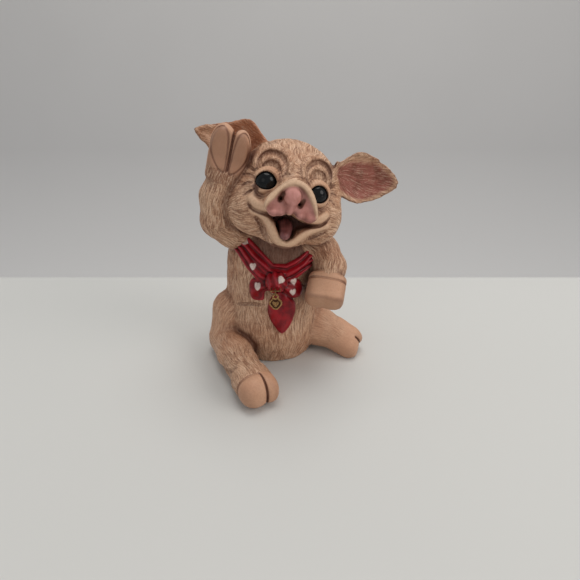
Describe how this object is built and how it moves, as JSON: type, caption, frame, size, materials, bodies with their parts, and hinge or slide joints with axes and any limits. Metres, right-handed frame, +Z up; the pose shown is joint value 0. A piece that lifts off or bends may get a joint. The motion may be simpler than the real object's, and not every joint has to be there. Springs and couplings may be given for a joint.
{
  "type": "pig figurine",
  "caption": "Seated pig ornament in painted resin, one foreleg raised beside the head, with glass eyes, a red neckerchief and a charm that swings from its knot.",
  "frame": {"origin": "middle of the torso's flat base, on the surface the figurine stands on", "axes": "+Z up through the torso, -Y towards the front of the figurine, +X towards the pig's own left"},
  "size_m": [0.079, 0.0736, 0.0997],
  "materials": {
    "resin_tan": "hand-painted tan with a brown antique wash, satin",
    "resin_hoof": "smooth hand-painted tan, satin",
    "resin_snout": "hand-painted pink, satin",
    "resin_tongue": "hand-painted dark mauve, satin",
    "kerchief_red": "gloss crimson paint with white marks",
    "eye_glass": "opaque black glass, polished",
    "old_bronze": "antiqued bronze, rubbed at the edges"
  },
  "bodies": {
    "figurine": {"torso": "resin_tan", "tail": "resin_tan", "head": "resin_tan", "lower_jaw": "resin_tan", "tongue": "resin_tongue", "snout": "resin_snout", "right_ear": "resin_tan", "left_ear": "resin_tan", "right_eye": "eye_glass", "left_eye": "eye_glass", "right_arm": "resin_tan", "left_arm": "resin_tan", "right_fore_hoof": "resin_hoof", "left_fore_hoof": "resin_hoof", "right_leg": "resin_tan", "left_leg": "resin_tan", "right_hind_hoof": "resin_hoof", "left_hind_hoof": "resin_hoof", "bandana_band": "kerchief_red", "bandana_knot": "kerchief_red", "bandana_right_end": "kerchief_red", "bandana_left_end": "kerchief_red", "bandana_tail": "kerchief_red", "pendant_staple": "old_bronze"},
    "ring": {"pendant_ring": "old_bronze"},
    "charm": {"pendant_charm": "old_bronze"}
  },
  "joints": [
    {"name": "ring_swing", "type": "hinge", "parent": "figurine", "child": "ring", "pos_m": [0.00196, -0.02433, 0.0385], "axis": [-1, 0, 0], "range_deg": [-12, 90]},
    {"name": "charm_sway", "type": "hinge", "parent": "ring", "child": "charm", "pos_m": [0.00196, -0.02433, 0.03647], "axis": [0, 1, 0], "range_deg": [-35, 35]}
  ]
}
